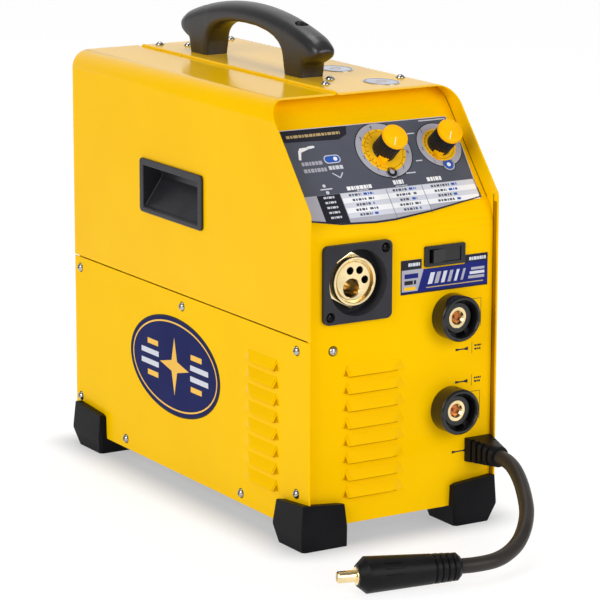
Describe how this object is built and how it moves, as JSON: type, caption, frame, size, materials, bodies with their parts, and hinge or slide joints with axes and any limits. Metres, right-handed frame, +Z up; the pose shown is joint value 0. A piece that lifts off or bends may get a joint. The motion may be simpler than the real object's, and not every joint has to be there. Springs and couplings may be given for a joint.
{
  "type": "mig welding machine",
  "caption": "Portable wire-feed welding machine with a top-hinged wire bay door, two control knobs, front sockets, carry handle, corner feet and a front polarity lead.",
  "frame": {"origin": "on the floor under the middle of the four feet", "axes": "+X to the operator's right when facing the front, +Y towards the rear, +Z up; the front with the sockets faces -Y and the door is on the -X side"},
  "size_m": [0.2322, 0.5844, 0.4222],
  "materials": {
    "yellow_paint": "gloss",
    "zinc_sheet": "satin",
    "black_moulding": "satin",
    "foot_moulding": "matte",
    "label_print": "satin",
    "plate_print": "satin",
    "badge_print": "satin",
    "badge_silver": "satin",
    "zinc_screw": "polished",
    "brass": "satin",
    "rocker_black": "gloss",
    "rocker_red": "gloss",
    "knob_black": "satin",
    "knob_yellow": "gloss",
    "circuit_board": "satin",
    "cable_rubber": "matte",
    "cast_alloy": "satin",
    "steel": "satin",
    "dark_metal": "satin"
  },
  "bodies": {
    "case": {"base_chassis": "zinc_sheet", "front_panel": "yellow_paint", "rear_panel": "yellow_paint", "roof_side_cover": "yellow_paint", "lower_left_panel": "yellow_paint", "inner_divider": "zinc_sheet", "hinge_fixed_leaf": "yellow_paint", "door_catches": "black_moulding", "carry_handle": "black_moulding", "front_left_foot": "foot_moulding", "front_right_foot": "foot_moulding", "rear_left_foot": "foot_moulding", "rear_right_foot": "foot_moulding", "control_label": "label_print", "name_plate": "plate_print", "side_badge": "badge_print", "roof_badges": "badge_silver", "case_screws": "zinc_screw", "torch_socket_housing": "black_moulding", "torch_socket_body": "brass", "upper_socket_housing": "black_moulding", "upper_socket_contact": "brass", "lower_socket_housing": "black_moulding", "lower_socket_contact": "brass", "mode_switch_body": "black_moulding", "control_board": "circuit_board", "strain_relief": "cable_rubber", "polarity_lead": "cable_rubber", "plug_body": "black_moulding", "plug_pin": "brass", "feed_plate": "cast_alloy", "feed_motor": "dark_metal", "feeder_pins": "zinc_screw", "wire_guides": "brass", "hub_axle": "zinc_screw", "power_board": "circuit_board", "heat_sink": "cast_alloy", "main_transformer": "dark_metal", "fan_frame": "black_moulding", "mains_switch_body": "black_moulding", "mains_gland": "black_moulding", "gas_inlet": "brass"},
    "door": {"wire_door": "yellow_paint", "door_pull_cup": "black_moulding", "hinge_door_leaf": "yellow_paint"},
    "left_control": {"left_knob": "knob_black", "left_knob_cap": "knob_yellow", "left_knob_spindle": "zinc_screw"},
    "right_control": {"right_knob": "knob_black", "right_knob_cap": "knob_yellow", "right_knob_spindle": "zinc_screw"},
    "mode_rocker": {"mode_switch_rocker": "rocker_black"},
    "mains_rocker": {"mains_switch_rocker": "rocker_red"},
    "drive_roll": {"drive_roller": "steel"},
    "pressure_arm": {"pressure_arm": "cast_alloy"},
    "idler_roll": {"idler_roller": "steel"},
    "lever": {"tension_lever": "zinc_screw"},
    "lever_knob": {"tension_knob": "black_moulding"},
    "spool_carrier": {"spool_hub": "black_moulding"},
    "fan": {"fan_rotor": "black_moulding"}
  },
  "joints": [
    {"name": "door_hinge", "type": "hinge", "parent": "case", "child": "door", "pos_m": [-0.02, 0.034, 0.368], "axis": [0, 1, 0], "range_deg": [0, 95]},
    {"name": "left_knob_turn", "type": "hinge", "parent": "case", "child": "left_control", "pos_m": [0.0128, -0.15757, 0.32008], "axis": [0, 0.7701, -0.6379], "range_deg": [0, 270]},
    {"name": "right_knob_turn", "type": "hinge", "parent": "case", "child": "right_control", "pos_m": [0.068, -0.15757, 0.32008], "axis": [0, 0.7701, -0.6379], "range_deg": [0, 270]},
    {"name": "mode_rocker_tilt", "type": "hinge", "parent": "case", "child": "mode_rocker", "pos_m": [0.045, -0.199, 0.2363], "axis": [0, 0, -1], "range_deg": [0, 16]},
    {"name": "mains_rocker_tilt", "type": "hinge", "parent": "case", "child": "mains_rocker", "pos_m": [0.05, 0.199, 0.3], "axis": [0, 0, -1], "range_deg": [0, 16]},
    {"name": "drive_roller_turn", "type": "hinge", "parent": "case", "child": "drive_roll", "pos_m": [-0.0444, -0.118, 0.201], "axis": [1, 0, 0], "continuous": true},
    {"name": "pressure_arm_lift", "type": "hinge", "parent": "case", "child": "pressure_arm", "pos_m": [-0.0444, -0.148, 0.232], "axis": [1, 0, 0], "range_deg": [0, 55]},
    {"name": "idler_turn", "type": "hinge", "parent": "pressure_arm", "child": "idler_roll", "pos_m": [-0.0444, -0.118, 0.2288], "axis": [1, 0, 0], "continuous": true},
    {"name": "tension_lever_swing", "type": "hinge", "parent": "case", "child": "lever", "pos_m": [-0.0444, -0.084, 0.229], "axis": [-1, 0, 0], "range_deg": [-50, 0]},
    {"name": "tension_knob_turn", "type": "hinge", "parent": "lever", "child": "lever_knob", "pos_m": [-0.0444, -0.06102, 0.24828], "axis": [0, 0.766, 0.6428], "range_deg": [0, 1080]},
    {"name": "spool_hub_turn", "type": "hinge", "parent": "case", "child": "spool_carrier", "pos_m": [-0.035, 0.088, 0.262], "axis": [1, 0, 0], "continuous": true},
    {"name": "fan_spin", "type": "hinge", "parent": "case", "child": "fan", "pos_m": [0.041, 0.188, 0.09], "axis": [0, 1, 0], "continuous": true}
  ],
  "couplings": [
    {"joint": "idler_turn", "follows": "drive_roller_turn", "ratio": -1.25}
  ]
}
